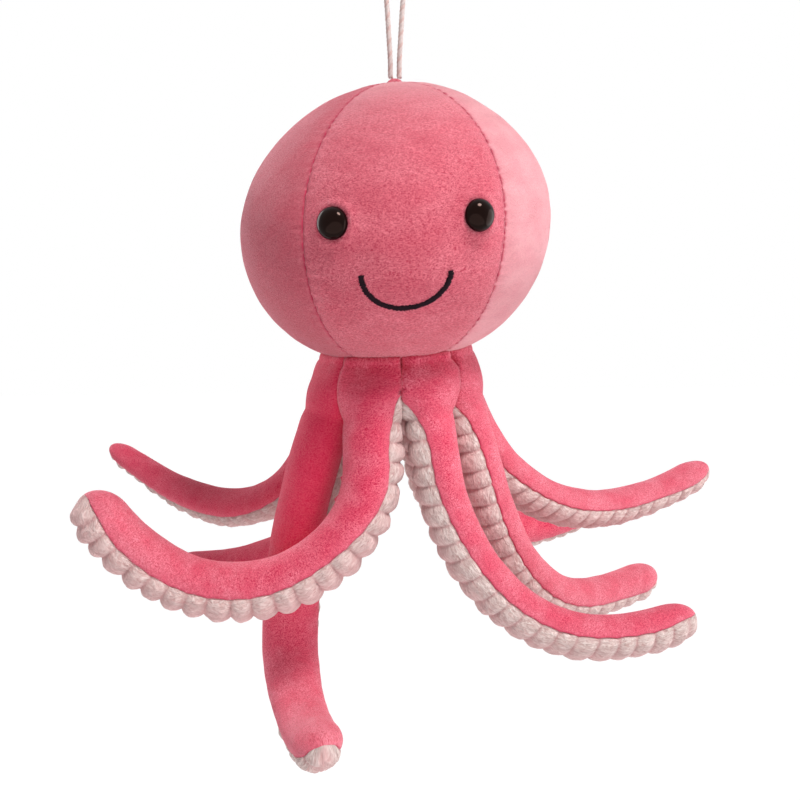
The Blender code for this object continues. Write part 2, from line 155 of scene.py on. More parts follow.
def closedFaces(rings, segments, start=0):
    faces = []
    for r in range(rings - 1):
        for k in range(segments):
            n = (k + 1) % segments
            faces.append((r * segments + k, r * segments + n, (r + 1) * segments + n, (r + 1) * segments + k))
    last = (rings - 1) * segments
    faces.append(tuple(reversed(range(segments))))
    faces.append(tuple(range(last, last + segments)))
    return [tuple(start + v for v in face) for face in faces]


def insideOut(faces):
    return [face[::-1] for face in faces]


# Shared effects, each a group that puts out a mask or a height
def newGroup(name, inputs, outputs):
    group = bpy.data.node_groups.new(name, "ShaderNodeTree")
    for label, kind, value in inputs:
        socket = group.interface.new_socket(name=label, in_out="INPUT", socket_type=kind)
        if value is not None:
            socket.default_value = value
    for label, kind in outputs:
        group.interface.new_socket(name=label, in_out="OUTPUT", socket_type=kind)
    return group, group.nodes.new("NodeGroupInput"), group.nodes.new("NodeGroupOutput")


def mathNode(tree, operation, first, second=None, third=None):
    node = tree.nodes.new("ShaderNodeMath")
    node.operation = operation
    for index, value in enumerate((first, second, third)):
        if isinstance(value, (int, float)):
            node.inputs[index].default_value = value
        elif value is not None:
            tree.links.new(value, node.inputs[index])
    return node.outputs[0]


def noiseNode(tree, vector, scale, detail=2.0, roughness=0.5, distortion=0.0):
    node = tree.nodes.new("ShaderNodeTexNoise")
    node.inputs["Detail"].default_value = detail
    node.inputs["Roughness"].default_value = roughness
    node.inputs["Distortion"].default_value = distortion
    tree.links.new(vector, node.inputs["Vector"])
    if isinstance(scale, (int, float)):
        node.inputs["Scale"].default_value = scale
    else:
        tree.links.new(scale, node.inputs["Scale"])
    return node.outputs[0]


# Short tufts that lie in whorls: fine curls, warped by a broader flow
def makePileGroup():
    group, source, out = newGroup(
        "Pile",
        [("Vector", "NodeSocketVector", None), ("Tuft Scale", "NodeSocketFloat", 1200.0),
         ("Flow Scale", "NodeSocketFloat", 90.0), ("Flow", "NodeSocketFloat", 0.004)],
        [("Tufts", "NodeSocketFloat"), ("Patches", "NodeSocketFloat")],
    )
    flow = group.nodes.new("ShaderNodeTexNoise")
    flow.inputs["Detail"].default_value = 2.0
    group.links.new(source.outputs["Vector"], flow.inputs["Vector"])
    group.links.new(source.outputs["Flow Scale"], flow.inputs["Scale"])
    shift = group.nodes.new("ShaderNodeVectorMath")
    shift.operation = "SCALE"
    group.links.new(flow.outputs["Color"], shift.inputs[0])
    group.links.new(source.outputs["Flow"], shift.inputs["Scale"])
    warped = group.nodes.new("ShaderNodeVectorMath")
    warped.operation = "ADD"
    group.links.new(source.outputs["Vector"], warped.inputs[0])
    group.links.new(shift.outputs[0], warped.inputs[1])
    fine = noiseNode(group, warped.outputs[0], source.outputs["Tuft Scale"], 3.0, 0.60, 1.1)
    group.links.new(fine, out.inputs["Tufts"])
    broad = noiseNode(group, warped.outputs[0], source.outputs["Flow Scale"], 3.0, 0.55)
    group.links.new(broad, out.inputs["Patches"])
    return group


# Dark where two panels are sewn, from the piece's own distance to its seam
def makeSeamGroup():
    group, source, out = newGroup(
        "Seam Shade",
        [("Distance", "NodeSocketFloat", 1.0), ("Width", "NodeSocketFloat", 0.0010)],
        [("Mask", "NodeSocketFloat")],
    )
    share = mathNode(group, "DIVIDE", source.outputs["Distance"], source.outputs["Width"])
    fall = mathNode(group, "POWER", share, 1.4)
    mask = mathNode(group, "EXPONENT", mathNode(group, "MULTIPLY", fall, -1.0))
    group.links.new(mask, out.inputs["Mask"])
    return group


groups = {"pile": makePileGroup(), "seam": makeSeamGroup()}


def newMaterial(name):
    material = bpy.data.materials.new(name)
    material.use_nodes = True
    tree = material.node_tree
    return material, tree, tree.nodes["Principled BSDF"]


def placeGroup(tree, key, **values):
    node = tree.nodes.new("ShaderNodeGroup")
    node.node_tree = groups[key]
    for label, value in values.items():
        socket = node.inputs[label.replace("_", " ")]
        if isinstance(value, (int, float)):
            socket.default_value = value
        else:
            tree.links.new(value, socket)
    return node


def mixColour(tree, factor, first, second):
    node = tree.nodes.new("ShaderNodeMix")
    node.data_type = "RGBA"
    for label, value in (("Factor", factor), ("A", first), ("B", second)):
        if isinstance(value, (int, float)):
            node.inputs[label].default_value = value
        elif isinstance(value, tuple):
            node.inputs[label].default_value = value + (1.0,)
        else:
            tree.links.new(value, node.inputs[label])
    return node.outputs["Result"]


def spread(tree, value, low, high):
    node = tree.nodes.new("ShaderNodeMapRange")
    node.inputs["From Min"].default_value = low
    node.inputs["From Max"].default_value = high
    tree.links.new(value, node.inputs["Value"])
    return node.outputs[0]


def fieldNode(tree, name):
    node = tree.nodes.new("ShaderNodeAttribute")
    node.attribute_name = name
    return node.outputs["Fac"]


def placeNode(tree, kind):
    return tree.nodes.new("ShaderNodeTexCoord").outputs[kind]


def bumpNode(tree, height, distance, strength, shader):
    node = tree.nodes.new("ShaderNodeBump")
    node.inputs["Distance"].default_value = distance
    node.inputs["Strength"].default_value = strength
    tree.links.new(height, node.inputs["Height"])
    tree.links.new(node.outputs[0], shader.inputs["Normal"])


velourLook = {
    "tufts": (0.38, 0.64),
    "patches": (0.38, 0.68),
    # Pale colour painted as the sheen of lit pile, then deep crimson painted as pile lying in shade
    "paintedSheen": (0.84, 0.49, 0.52),
    "paintedShade": (0.80, 0.012, 0.075),
    "seamLine": 0.0011,
    "seamGlow": 0.0030,
    "stitchScale": 420.0,
    "stitches": (0.32, 0.55),
    "sheenTint": (1.0, 0.68, 0.73, 1.0),
    "bump": 0.0007,
}


# A positive value of the painted field paints the pale sheen of lit pile, a negative one the deep crimson of pile in
# shade
def velourMaterial(name, deep, middle, light, seamColour, sheen, tuftScale, paintedShade=velourLook["paintedShade"]):
    material, tree, shader = newMaterial(name)
    look = velourLook
    where = placeNode(tree, "UV")
    pile = placeGroup(tree, "pile", Vector=where, Tuft_Scale=tuftScale)
    tufts = spread(tree, pile.outputs["Tufts"], *look["tufts"])
    patches = spread(tree, pile.outputs["Patches"], *look["patches"])
    base = mixColour(tree, tufts, deep, middle)
    lit = mathNode(tree, "MULTIPLY_ADD", patches, 0.5, 0.35)
    base = mixColour(tree, mathNode(tree, "MULTIPLY", lit, tufts), base, light)
    # Painted light and shade: pale sheen mixed in where the field is positive, deep shade where it is negative
    paintedLightAndShade = mathNode(tree, "MULTIPLY", fieldNode(tree, "paintedLightAndShade"), mathNode(tree, "MULTIPLY_ADD", lit, 0.5, 0.55))
    base = mixColour(tree, paintedLightAndShade, base, look["paintedSheen"])
    base = mixColour(tree, mathNode(tree, "MULTIPLY", paintedLightAndShade, -1.0), base, paintedShade)
    glow = placeGroup(tree, "seam", Distance=fieldNode(tree, "seam"), Width=look["seamGlow"])
    base = mixColour(tree, mathNode(tree, "MULTIPLY", glow.outputs["Mask"], 0.22), base, light)
    seam = placeGroup(tree, "seam", Distance=fieldNode(tree, "seam"), Width=look["seamLine"])
    stitches = spread(tree, noiseNode(tree, where, look["stitchScale"], 1.0), *look["stitches"])
    line = mathNode(tree, "MULTIPLY", seam.outputs["Mask"], stitches)
    base = mixColour(tree, mathNode(tree, "MULTIPLY", line, 0.9), base, seamColour)
    tree.links.new(base, shader.inputs["Base Color"])
    shader.inputs["Roughness"].default_value = 0.9
    shader.inputs["Specular IOR Level"].default_value = 0.12
    shader.inputs["Sheen Weight"].default_value = sheen
    shader.inputs["Sheen Roughness"].default_value = 0.45
    shader.inputs["Sheen Tint"].default_value = look["sheenTint"]
    bumpNode(tree, pile.outputs["Tufts"], look["bump"], 0.85, shader)
    return material


plushLook = {
    "tuftScale": 1100.0,
    "flowScale": 140.0,
    "tufts": (0.34, 0.66),
    "shade": (0.55, 0.35, 0.33),
    "tips": (0.88, 0.75, 0.72),
    # Pinker colour painted along the strips' undersides as shade lit by bounce from the velour
    "under": (0.76, 0.36, 0.38),
    # Darker colour painted as shade in the grooves between ribs
    "grooveShade": (0.58, 0.25, 0.26),
    "sheenTint": (1.0, 0.93, 0.92, 1.0),
    "bump": 0.0014,
}


def plushMaterial(name):
    material, tree, shader = newMaterial(name)
    look = plushLook
    pile = placeGroup(tree, "pile", Vector=placeNode(tree, "UV"), Tuft_Scale=look["tuftScale"],
                      Flow_Scale=look["flowScale"])
    tufts = spread(tree, pile.outputs["Tufts"], *look["tufts"])
    base = mixColour(tree, tufts, look["shade"], look["tips"])
    # Painted shade: pinker along the middle of each strip's underside
    under = spread(tree, fieldNode(tree, "under"), 0.30, 1.0)
    base = mixColour(tree, mathNode(tree, "MULTIPLY", under, 0.5), base, look["under"])
    # Painted shade, darker in the grooves between ribs and along the strip's edges
    grooveShade = mathNode(tree, "MULTIPLY", fieldNode(tree, "grooveShade"), 0.62)
    base = mixColour(tree, grooveShade, base, look["grooveShade"])
    tree.links.new(base, shader.inputs["Base Color"])
    shader.inputs["Roughness"].default_value = 0.95
    shader.inputs["Specular IOR Level"].default_value = 0.10
    shader.inputs["Sheen Weight"].default_value = 0.25
    shader.inputs["Sheen Roughness"].default_value = 0.5
    shader.inputs["Sheen Tint"].default_value = look["sheenTint"]
    bumpNode(tree, pile.outputs["Tufts"], look["bump"], 0.9, shader)
    return material


def plainMaterial(name, colour, roughness, grainScale, grainDepth, variation, specular, tint=(1.0, 1.0, 1.0)):
    material, tree, shader = newMaterial(name)
    grain = noiseNode(tree, placeNode(tree, "Object"), grainScale, 3.0, 0.6)
    darker = tuple(c * (1.0 - variation) for c in colour)
    tree.links.new(mixColour(tree, grain, darker, colour), shader.inputs["Base Color"])
    shader.inputs["Roughness"].default_value = roughness
    shader.inputs["Specular IOR Level"].default_value = specular
    shader.inputs["Specular Tint"].default_value = tint + (1.0,)
    bumpNode(tree, grain, grainDepth, 0.5, shader)
    return material


materials = {
    # The head's last colour is the greyish dark crimson painted where the head lies in shade
    "headVelour": velourMaterial("Head Velour", (0.49, 0.045, 0.084), (0.69, 0.115, 0.168), (0.86, 0.26, 0.32),
                                 (0.48, 0.020, 0.07), 0.52, 1750.0, paintedShade=(0.40, 0.055, 0.085)),
    "tentacleVelour": velourMaterial("Tentacle Velour", (0.58, 0.008, 0.055), (0.83, 0.034, 0.115),
                                     (0.97, 0.32, 0.41), (0.70, 0.050, 0.12), 0.45, 1650.0),
    "plush": plushMaterial("Ribbed Plush"),
    "cord": plainMaterial("Cord Yarn", (0.74, 0.63, 0.61), 0.85, 2400.0, 0.0003, 0.30, 0.2),
    "cordPink": plainMaterial("Cord Yarn Pink", (0.70, 0.51, 0.48), 0.85, 2400.0, 0.0003, 0.30, 0.2),
    "eye": plainMaterial("Eye Gloss", (0.0035, 0.0006, 0.0004), 0.10, 60.0, 0.00001, 0.3, 0.13,
                         tint=(1.0, 0.62, 0.54)),
    "thread": plainMaterial("Black Thread", (0.018, 0.007, 0.012), 0.65, 3000.0, 0.0002, 0.4, 0.08),
    "backing": plainMaterial("Velour Back", (0.62, 0.050, 0.11), 0.95, 900.0, 0.0003, 0.3, 0.1),
    "washer": plainMaterial("Washer Plastic", (0.78, 0.78, 0.76), 0.4, 300.0, 0.0001, 0.05, 0.5),
}
print("materials made")

# Camera: upright lines stay nearly upright, so it is held level with the head and looks a little down
cameraSetup = {"lens": 42.0, "distance": 0.47, "turn": 4.0, "side": 0.0025, "rise": 0.0019, "horizonPixels": 178.5,
               "picturePixels": 800.0, "nearest": 0.01}


def makeCamera():
    data = bpy.data.cameras.new("Camera")
    data.lens = cameraSetup["lens"]
    camera = bpy.data.objects.new("Camera", data)
    bpy.context.collection.objects.link(camera)
    turn = math.radians(cameraSetup["turn"])
    away = cameraSetup["distance"]
    camera.location = (cameraSetup["side"] - away * math.sin(turn), -away * math.cos(turn),
                       headCentre[2] + cameraSetup["rise"])
    pixelsPerUnit = cameraSetup["picturePixels"] * cameraSetup["lens"] / data.sensor_width
    pitch = math.atan(cameraSetup["horizonPixels"] / pixelsPerUnit)
    camera.rotation_euler = (math.pi / 2.0 - pitch, 0.0, -turn)
    data.clip_start = cameraSetup["nearest"]
    scene.camera = camera


makeCamera()

# Hanging loop: three plies laid round the same route as the solid's
loop = {
    "diameter": 0.0026,
    "plyRadius": 0.00084,
    "plies": 3,
    "pinkPly": 2,
    "turnLength": 0.0058,
    "sides": 8,
    "steps": 420,
    "route": (
        (-0.0021, 0.0, -0.0684), (-0.0022, 0.0, -0.0600), (-0.0028, 0.0, -0.0500), (-0.0034, 0.0, -0.0400),
        (-0.0042, 0.0, -0.0300), (-0.0051, 0.0, -0.0200), (-0.0060, 0.0, -0.0110), (-0.0062, 0.0, -0.0049),
        (-0.0054, 0.0, -0.0018), (-0.0031, 0.0, 0.0005), (0.0, 0.0, 0.0013), (0.0031, 0.0, 0.0005),
        (0.0054, 0.0, -0.0018), (0.0062, 0.0, -0.0049), (0.0060, 0.0, -0.0110), (0.0051, 0.0, -0.0200),
        (0.0042, 0.0, -0.0300), (0.0034, 0.0, -0.0400), (0.0028, 0.0, -0.0500), (0.0022, 0.0, -0.0600),
        (0.0021, 0.0, -0.0684),
    ),
}


# A smooth curve through the knots, evenly by knot
def throughPoints(knots, shares):
    knots = np.asarray(knots, float)
    last = len(knots) - 1
    place = np.clip(np.asarray(shares, float) * last, 0.0, last)
    i = np.minimum(place.astype(int), last - 1)
    t = (place - i)[..., None]
    before, here = knots[np.maximum(i - 1, 0)], knots[i]
    there, after = knots[i + 1], knots[np.minimum(i + 2, last)]
    line = 2.0 * here + (there - before) * t
    bend = (2.0 * before - 5.0 * here + 4.0 * there - after) * t ** 2
    return 0.5 * (line + bend + (3.0 * here - 3.0 * there + after - before) * t ** 3)


def makeLoop():
    steps, sides, plyRadius = loop["steps"], loop["sides"], loop["plyRadius"]
    path = throughPoints(loop["route"], np.linspace(0.0, 1.0, steps))
    along = lengthAlong(path)
    way = unit(np.gradient(path, axis=0))
    side = np.tile([0.0, 1.0, 0.0], (steps, 1))
    third = np.cross(way, side)
    vertices, faces, slots = [], [], []
    reachOut = loop["diameter"] / 2.0 - plyRadius
    for ply in range(loop["plies"]):
        angle = 2.0 * math.pi * (along / loop["turnLength"] + ply / loop["plies"])
        centre = path + reachOut * (np.cos(angle)[:, None] * side + np.sin(angle)[:, None] * third)
        plyWay = unit(np.gradient(centre, axis=0))
        out = unit(centre - path)
        other = np.cross(plyWay, out)
        plyFaces = closedFaces(steps, sides, len(vertices))
        for k in range(steps):
            for s in range(sides):
                turn = 2.0 * math.pi * s / sides
                vertices.append(centre[k] + plyRadius * (math.cos(turn) * out[k] + math.sin(turn) * other[k]))
        faces += plyFaces
        slots += [int(ply == loop["pinkPly"])] * len(plyFaces)
    piece = makeSolid("hanging_loop_cord", vertices, faces, materials["cord"])
    piece.data.materials.append(materials["cordPink"])
    piece.data.polygons.foreach_set("material_index", slots)
    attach(piece, "loop")
    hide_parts("hanging_loop")
    print("cord length", round(float(along[-1]), 4))


makeLoop()

# Head panels: depths and spans of their relief, then the light and shade painted on each one
headLook = {
    "rows": 190,
    "columns": 76,
    "crownShare": 0.9965,
    "crowding": 0.2,
    "seamDepth": 0.0005,
    "seamSpan": 0.0045,
    "creaseDepth": 0.00025,
    "creaseSpan": 0.0005,
    "puckerDepth": 0.00030,
    "puckerPitch": 0.0047,
    "puckerSpan": 0.0048,
    "wanderSize": 0.011,
    "unevenDepth": 0.0007,
    "unevenSize": 0.030,
    "fineDepth": 0.00022,
    "fineSize": 0.009,
    "evenSpan": 0.012,
    "neckTuck": 0.0016,
    "neckTuckSpan": 0.0030,
    "neckGather": 0.00035,
    "neckGatherSpan": 0.006,
    "crownGather": 0.0004,
    "crownGatherSpan": 0.007,
    "foldDepth": 0.0022,
    "hem": 0.004,
    # Light and shade painted per panel: paler on the right and towards the back, where light falls, darker on the
    # left, in shade
    "paintedLightAndShade": {"head_front_panel": 0.0, "head_right_panel": 0.64, "head_back_right_panel": 0.25,
            "head_back_left_panel": 0.10, "head_left_panel": -0.50},
    # The front panel painted paler towards the crown, as if lit from above
    "crownPaintedLight": {"head_front_panel": 0.60},
    "crownPaintedLightSpan": 0.042,
}
eyeLook = {"radius": 0.0070, "height": 0.0058, "azimuth": 24.0, "rise": 0.0028, "shank": 0.0022,
           "shankLength": 0.0110, "gap": 0.0003, "dimple": 0.0005, "dimpleSpan": 0.0150, "flatSpan": 0.012,
           "rimLift": 0.0010, "rimRadius": 0.0083, "rimSpan": 0.0020, "segments": 64, "rings": 23}
smile = {"halfWidth": 0.0190, "endDrop": 0.0195, "depth": 0.0150, "width": 0.0023}


def curveShare(heightShare):
    up = np.clip(heightShare, 0.0, 1.0)
    down = np.clip(-heightShare, 0.0, 1.0)
    upper = (1.0 - up ** head["upperCurve"][0]) ** head["upperCurve"][1]
    lower = (1.0 - down ** head["lowerCurve"][0]) ** head["lowerCurve"][1]
    return np.where(heightShare > 0.0, upper, lower)


def headSkin(heightShare, azimuth):
    heightShare, azimuth = np.broadcast_arrays(np.asarray(heightShare, float), np.asarray(azimuth, float))
    centred = np.radians((azimuth - head["seams"][0]) % 72.0 - 36.0)
    swell = 1.0 + head["swell"] * (np.cos(2.5 * centred) - 0.7) * (1.0 - heightShare ** 2)
    radius = head["radius"] * curveShare(heightShare) * swell
    radius = np.where(heightShare < 0.0, np.maximum(radius, head["neckLook"]), radius)
    forward = head["forward"] * ease((1.0 - heightShare) / 0.12)
    height = headCentre[2] + head["halfHeight"] * heightShare
    centre = np.stack([np.zeros_like(radius), -forward, height], -1)
    return centre + outward(azimuth) * radius[..., None]


def skinNormal(heightShare, azimuth):
    step = 0.01
    up = headSkin(heightShare + step, azimuth) - headSkin(heightShare - step, azimuth)
    across = headSkin(heightShare, azimuth + 0.5) - headSkin(heightShare, azimuth - 0.5)
    return unit(np.cross(across, up))


def eyeSeat(side):
    share = eyeLook["rise"] / head["halfHeight"]
    azimuth = side * eyeLook["azimuth"]
    below, place, above = (tilted(headSkin(share + step, azimuth)) for step in (-0.06, 0.0, 0.06))
    return place, unit(np.cross(outward(azimuth + 90.0), above - below))


def smilePoint(share, across, raised):
    angle = math.pi * (share - 0.5)
    side = (smile["halfWidth"] + across) * math.sin(angle)
    drop = smile["endDrop"] + (smile["depth"] + across) * math.cos(angle)
    heightShare = -drop / head["halfHeight"]
    azimuth = math.degrees(math.asin(side / (head["radius"] * float(curveShare(np.array(heightShare))))))
    return headSkin(heightShare, azimuth) + skinNormal(heightShare, azimuth) * raised


# Height of a head panel's skin over the plain form
def panelLift(grid, azimuth, away, along, side, seed):
    look = headLook
    toNeck = along[-1:] - along
    dip = look["seamDepth"] * np.exp(-(away / look["seamSpan"]) ** 2)
    dip = dip + look["creaseDepth"] * np.exp(-away / look["creaseSpan"])
    wander = softNoise(np.stack([along, side * 0.02 + 0.0 * along, 0.0 * along + seed], -1), look["wanderSize"])
    phase = 2.0 * math.pi * along / look["puckerPitch"] + 3.2 * wander + side * 1.3 + seed
    pucker = look["puckerDepth"] * np.sin(phase) * (0.6 + wander) * np.exp(-(away / look["puckerSpan"]) ** 2)
    uneven = look["unevenDepth"] * softNoise(grid, look["unevenSize"], seed)
    uneven = uneven + look["fineDepth"] * softNoise(grid, look["fineSize"], seed)
    tuck = look["neckTuck"] * np.exp(-toNeck / look["neckTuckSpan"])
    gather = look["neckGather"] * np.sin(azimuth * 1.9 + 3.0 * wander) * np.exp(-toNeck / look["neckGatherSpan"])
    crownGather = look["crownGather"] * np.sin(azimuth * 0.62 + seed) * np.exp(-along / look["crownGatherSpan"])
    return pucker + uneven * ease(away / look["evenSpan"]) + gather + crownGather - dip - tuck


# The front panel lies flat round each eye, which presses a dimple into it with a raised rim
def eyeLift(grid, lift):
    look = eyeLook
    for side in (-1, 1):
        seat = headSkin(look["rise"] / head["halfHeight"], side * look["azimuth"])
        far = np.linalg.norm(grid - seat, axis=-1)
        lift = lift * ease(far / look["flatSpan"]) - look["dimple"] * np.exp(-(far / look["dimpleSpan"]) ** 2)
        lift = lift + look["rimLift"] * np.exp(-((far - look["rimRadius"]) / look["rimSpan"]) ** 2)
    return lift


def makeHeadPanel(name, first, last, seed):
    look = headLook
    steep = np.linspace(math.acos(look["crownShare"]), math.acos(head["neckShare"]), look["rows"])
    share = np.cos(steep)[:, None]
    u = crowded(look["columns"], look["crowding"])
    middle, half = (first + last) / 2.0, (last - first) / 2.0
    azimuth = (middle + half * u)[None, :]
    grid = headSkin(share, azimuth)
    normal = skinNormal(share, azimuth)
    radius = np.hypot(grid[..., 0], grid[..., 1] + head["forward"])
    away = radius * math.radians(half) * (1.0 - np.abs(u))[None, :]
    along = np.broadcast_to(lengthAlong(grid[:, look["columns"] // 2])[:, None], away.shape)
    toNeck = along[-1:] - along
    lift = panelLift(grid, azimuth, away, along, np.sign(u)[None, :], seed)
    if name == "head_front_panel":
        lift = eyeLift(grid, lift)
    grid = withFolds(grid + normal * lift[..., None], normal, look["foldDepth"])
    fromAxis = unit(grid[-1] - headCentre * np.array([1, 1, 0]) - np.array([0, 0, 1]) * grid[-1][:, 2:])
    grid = np.concatenate([grid, (grid[-1] - fromAxis * look["hem"])[None]], 0)
    pad = ((0, 1), (1, 1))
    distance = np.pad(np.minimum(away, toNeck * 1.2), pad, constant_values=0.0)
    across = np.pad(radius * np.radians(azimuth - middle), pad, mode="edge")
    lengths = np.pad(along, pad, mode="edge")
    uv = np.stack([across * 0.65 + seed * 0.37, lengths + seed * 0.21], -1)
    # Painted light and shade for the panel, with painted light towards the crown
    crownPaintedLight = look["crownPaintedLight"].get(name, 0.0)
    paintedLightAndShade = look["paintedLightAndShade"][name] + crownPaintedLight * np.exp(-(lengths / look["crownPaintedLightSpan"]) ** 2)
    fields = {"seam": distance, "paintedLightAndShade": paintedLightAndShade}
    piece = makeGrid(name + "_velour", tilted(grid), uv, fields, materials["headVelour"])
    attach(piece, "head")
    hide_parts(name)


# Back of the velour: closes the head under the seams and round the neck
backing = {"rows": 60, "columns": 120, "crownShare": 0.985, "depth": 0.0019, "neckDepth": 0.0035, "neckSpan": 0.05,
           "collarRadius": 0.0362, "collarDrop": 0.0060}


def makeBacking():
    rows, columns = backing["rows"], backing["columns"]
    share = np.cos(np.linspace(math.acos(backing["crownShare"]), math.acos(head["neckShare"]), rows))[:, None]
    azimuth = np.linspace(0.0, 360.0, columns, endpoint=False)[None, :]
    depth = backing["depth"] + backing["neckDepth"] * np.exp(-(share - head["neckShare"]) / backing["neckSpan"])
    grid = headSkin(share, azimuth) - skinNormal(share, azimuth) * depth[..., None]
    collar = headCentre + outward(azimuth[0]) * backing["collarRadius"]
    collar[:, 2] = neckHeight - backing["collarDrop"]
    grid = tilted(np.concatenate([grid, collar[None]], 0))
    faces = insideOut(closedFaces(rows + 1, columns))
    piece = makeSolid("head_backing", grid.reshape(-1, 3), faces, materials["backing"])
    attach(piece, "head")
    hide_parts("head_stuffing")


makeBacking()

panelNames = ("head_front_panel", "head_right_panel", "head_back_right_panel", "head_back_left_panel",
              "head_left_panel")
for index, panelName in enumerate(panelNames):
    makeHeadPanel(panelName, head["seams"][index], head["seams"][index + 1], index + 1.0)
print("head panels made")

# Crown nub: velour gathered into pleats round the cord
nub = {"radius": 0.0043, "rise": 0.0018, "pleats": 11, "pleatDepth": 0.00035, "rings": 28, "segments": 66}


def makeNub():
    centre = np.array([0.0, 0.0, head["crown"] - nub["radius"] + nub["rise"]])
    vertices = []
    for r in range(nub["rings"]):
        angle = math.pi * (r + 0.5) / nub["rings"]
        for k in range(nub["segments"]):
            turn = 2.0 * math.pi * k / nub["segments"]
            pleat = nub["pleatDepth"] * math.sin(nub["pleats"] * turn + 0.7 * math.sin(3.0 * turn)) * math.sin(angle)
            radius = nub["radius"] + pleat
            vertices.append(centre + radius * np.array([math.sin(angle) * math.cos(turn),
                                                        math.sin(angle) * math.sin(turn), math.cos(angle)]))
    faces = insideOut(closedFaces(nub["rings"], nub["segments"]))
    piece = makeSolid("crown_nub_velour", vertices, faces, materials["headVelour"])
    addFlatUv(piece, 1.4, 3.0)
    addField(piece, "seam", [0.01] * len(vertices))
    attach(piece, "head")
    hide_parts("crown_nub")


makeNub()


# Eyes: polished domes on their shanks
def makeEye(side):
    name = "left_eye" if side < 0 else "right_eye"
    place, facing = eyeSeat(side)
    turn = Vector(facing).to_track_quat("Z", "Y").to_matrix()
    look = eyeLook
    profile = [(0.0, -look["shankLength"]), (look["shank"], -look["shankLength"]), (look["shank"], look["gap"]),
               (look["radius"] * 0.93, look["gap"]), (look["radius"] * 0.985, look["gap"] * 1.8)]
    for k in range(1, look["rings"]):
        angle = math.pi / 2.0 * k / look["rings"]
        profile.append((look["radius"] * math.cos(angle * 0.96 + 0.02),
                        look["height"] * (0.12 + 0.88 * math.sin(angle))))
    profile.append((0.0, look["height"]))
    vertices = []
    for radius, height in profile:
        radius = max(radius, 1e-5)
        for k in range(look["segments"]):
            angle = 2.0 * math.pi * k / look["segments"]
            spot = Vector((radius * math.cos(angle), radius * math.sin(angle), height))
            vertices.append(Vector(place) + turn @ spot)
    faces = closedFaces(len(profile), look["segments"])
    piece = makeSolid(name + "_dome", vertices, faces, materials["eye"])
    piece.data.set_sharp_from_angle(angle=math.radians(50.0))
    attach(piece, "head")
    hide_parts(name)


makeEye(-1)
makeEye(1)

# Mouth: satin stitches laid side by side across the band
stitch = {"count": 150, "radius": 0.00030, "crown": 0.00085, "sink": 0.00015, "sides": 6, "steps": 7, "lean": 0.006,
          "ragged": 0.00028}


def makeSmile():
    rng = np.random.default_rng(11)
    vertices, faces = [], []
    half = smile["width"] / 2.0
    steps, sides = stitch["steps"], stitch["sides"]
    for k in range(stitch["count"]):
        share = k / (stitch["count"] - 1)
        low = -half + rng.uniform(-1, 1) * stitch["ragged"]
        high = half + rng.uniform(-1, 1) * stitch["ragged"]
        thick = stitch["radius"] * rng.uniform(0.85, 1.15)
        crown = stitch["crown"] * rng.uniform(0.85, 1.1)
        points = []
        for s in range(steps):
            part = s / (steps - 1)
            lift = crown * math.sin(math.pi * part) ** 0.55 - stitch["sink"]
            leaning = min(max(share + stitch["lean"] * (part - 0.5), 0.0), 1.0)
            points.append(smilePoint(leaning, low + (high - low) * part, lift))
        points = np.array(points)
        way = unit(np.gradient(points, axis=0))
        up = unit(points[steps // 2] - (points[0] + points[-1]) / 2.0)
        side = unit(np.cross(way, up))
        rise = np.cross(way, side)
        faces += closedFaces(steps, sides, len(vertices))
        for s in range(steps):
            reach = thick * (0.55 + 0.45 * math.sin(math.pi * s / (steps - 1)))
            for c in range(sides):
                turn = 2.0 * math.pi * c / sides
                vertices.append(tilted(points[s] + reach * (math.cos(turn) * side[s] + math.sin(turn) * rise[s])))
    piece = makeSolid("smile_stitches", vertices, faces, materials["thread"])
    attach(piece, "head")
    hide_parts("smile_embroidery")


makeSmile()
print("crown, eyes and smile made")

# Tentacles: the same routes as the solids'. A route is the root's azimuth, the fullness and the bends, and a
# bend is the way's azimuth and elevation and the roll round it.
limb = {
    "length": 0.2330,
    "radius": 0.0130,
    "upShare": 0.94,
    "acrossShare": 1.04,
    "endTaper": 0.06,
    "rootBulge": 0.0045,
    "bulgeLength": 0.0280,
    "tipStart": 0.93,
    "rootRing": 0.0255,
    "rootSink": 0.0003,
    "coreRadius": 0.0110,
    "joinLength": 0.0340,
    "partLength": 0.0300,
    "halfAngle": 22.5,
    "cornerShare": 1.35,
    "closeWalls": 0.0006,
    "soften": 0.0007,
    "routeSteps": 880,
    "ribs": 24,
    "crowding": 0.15,
    "foldDepth": 0.0022,
    "blendNear": 0.16,
    "blendLean": 0.45,
}
routes = {
    "front_left": (-22.5, 1.11, ((-24, -66, 0), (-20, -79, 42), (-84, -42, 24), (-92, 0, 22), (-92, 39, 22),
                                 (-88, 60, 22))),
    "front_right": (22.5, 0.92, ((26, -67, 0), (36, -76, -50), (76, -62, -36), (84, -36, -36), (98, -5, -40),
                                 (108, 8, -40))),
    "right_front": (67.5, 0.96, ((67, -70, 0), (84, -75, -40), (108, -67, -20), (116, -43, -12),
                                 (118, -6, -12), (114, 10, -12))),
    "right_back": (112.5, 0.90, ((109, -64, 0), (106, -64, 0), (110, -40, -20), (114, -16, -22),
                                 (107, 8, -22), (98, 26, -20))),
    "back_right": (157.5, 0.92, ((158, -70, 0), (148, -75, 0), (134, -58, 0), (118, -24, 0), (110, 4, 0),
                                 (104, 16, 0))),
    "back_left": (-157.5, 0.90, ((-158, -70, 0), (-150, -76, 0), (-134, -56, 0), (-122, -32, 0),
                                 (-112, -14, 0), (-104, 2, 0))),
    "left_back": (-112.5, 0.84, ((-113, -65, 0), (-115, -68, 0), (-124, -30, 0), (-129, 2, 0), (-129, 18, 0),
                                 (-123, 24, 0))),
    "left_front": (-67.5, 1.12, ((-65, -69, 0), (-83, -72, -24), (-84, -80, -32), (-16, -83, 0), (15, -13, 0),
                                 (14, 30, 0))),
}
